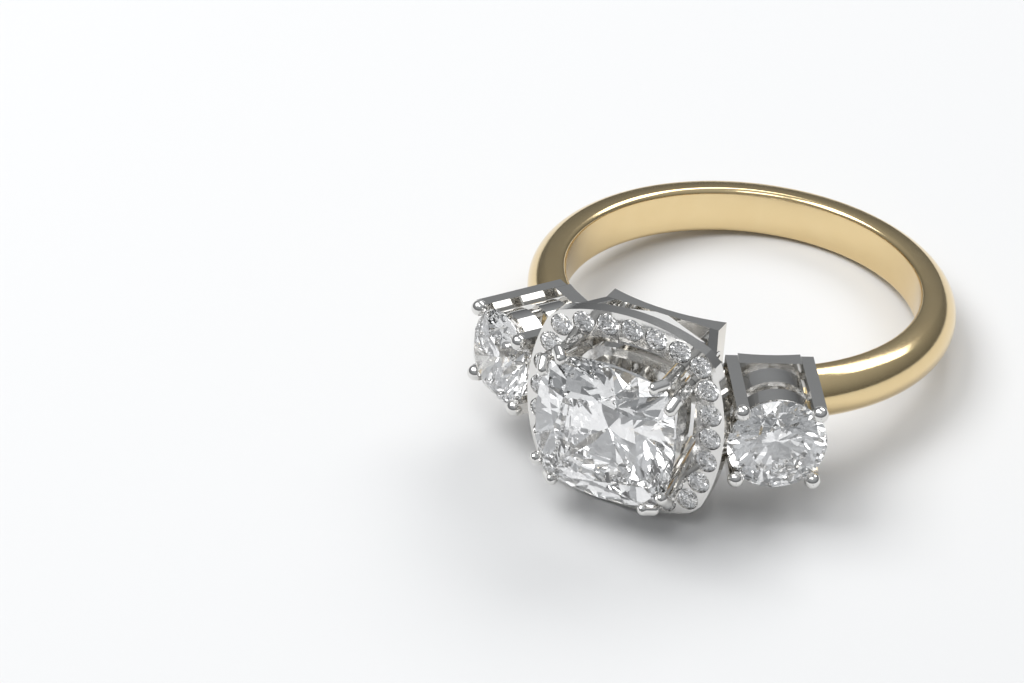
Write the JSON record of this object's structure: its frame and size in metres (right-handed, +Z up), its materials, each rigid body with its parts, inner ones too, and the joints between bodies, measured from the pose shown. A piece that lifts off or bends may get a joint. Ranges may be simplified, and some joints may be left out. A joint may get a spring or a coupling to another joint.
{
  "type": "three-stone halo engagement ring",
  "caption": "Engagement ring: a cushion-cut centre stone in claws over a pave halo and pierced gallery, round side stones in claw heads, and a court shank.",
  "frame": {"origin": "middle of the ring's box, on the surface that the ring lies on", "axes": "+Z up from that surface, +Y from the head towards the back of the shank, +X to the right of a viewer who faces the head"},
  "size_m": [0.0206, 0.0262, 0.0098],
  "materials": {
    "yellow_gold": "polished 18 carat yellow gold",
    "white_gold": "polished rhodium-plated white gold",
    "diamond": "colourless, faceted and polished"
  },
  "bodies": {
    "root": {"centre_basket_rail": "white_gold", "centre_claws_lower_left": "white_gold", "centre_claws_lower_right": "white_gold", "centre_claws_upper_left": "white_gold", "centre_claws_upper_right": "white_gold", "centre_stone": "diamond", "gallery_base": "white_gold", "gallery_post_lower_left": "white_gold", "gallery_post_lower_right": "white_gold", "gallery_post_upper_left": "white_gold", "gallery_post_upper_right": "white_gold", "gallery_web_left": "white_gold", "gallery_web_lower": "white_gold", "gallery_web_right": "white_gold", "gallery_web_upper": "white_gold", "halo_plate": "white_gold", "halo_stone_1": "diamond", "halo_stone_10": "diamond", "halo_stone_11": "diamond", "halo_stone_12": "diamond", "halo_stone_13": "diamond", "halo_stone_14": "diamond", "halo_stone_15": "diamond", "halo_stone_16": "diamond", "halo_stone_17": "diamond", "halo_stone_18": "diamond", "halo_stone_19": "diamond", "halo_stone_2": "diamond", "halo_stone_20": "diamond", "halo_stone_21": "diamond", "halo_stone_22": "diamond", "halo_stone_23": "diamond", "halo_stone_24": "diamond", "halo_stone_3": "diamond", "halo_stone_4": "diamond", "halo_stone_5": "diamond", "halo_stone_6": "diamond", "halo_stone_7": "diamond", "halo_stone_8": "diamond", "halo_stone_9": "diamond", "head_bridge": "white_gold", "left_side_claws": "white_gold", "left_side_lower_rail": "white_gold", "left_side_saddle": "white_gold", "left_side_stone": "diamond", "left_side_upper_rail": "white_gold", "right_side_claws": "white_gold", "right_side_lower_rail": "white_gold", "right_side_saddle": "white_gold", "right_side_stone": "diamond", "right_side_upper_rail": "white_gold", "shank": "yellow_gold"}
  },
  "joints": []
}
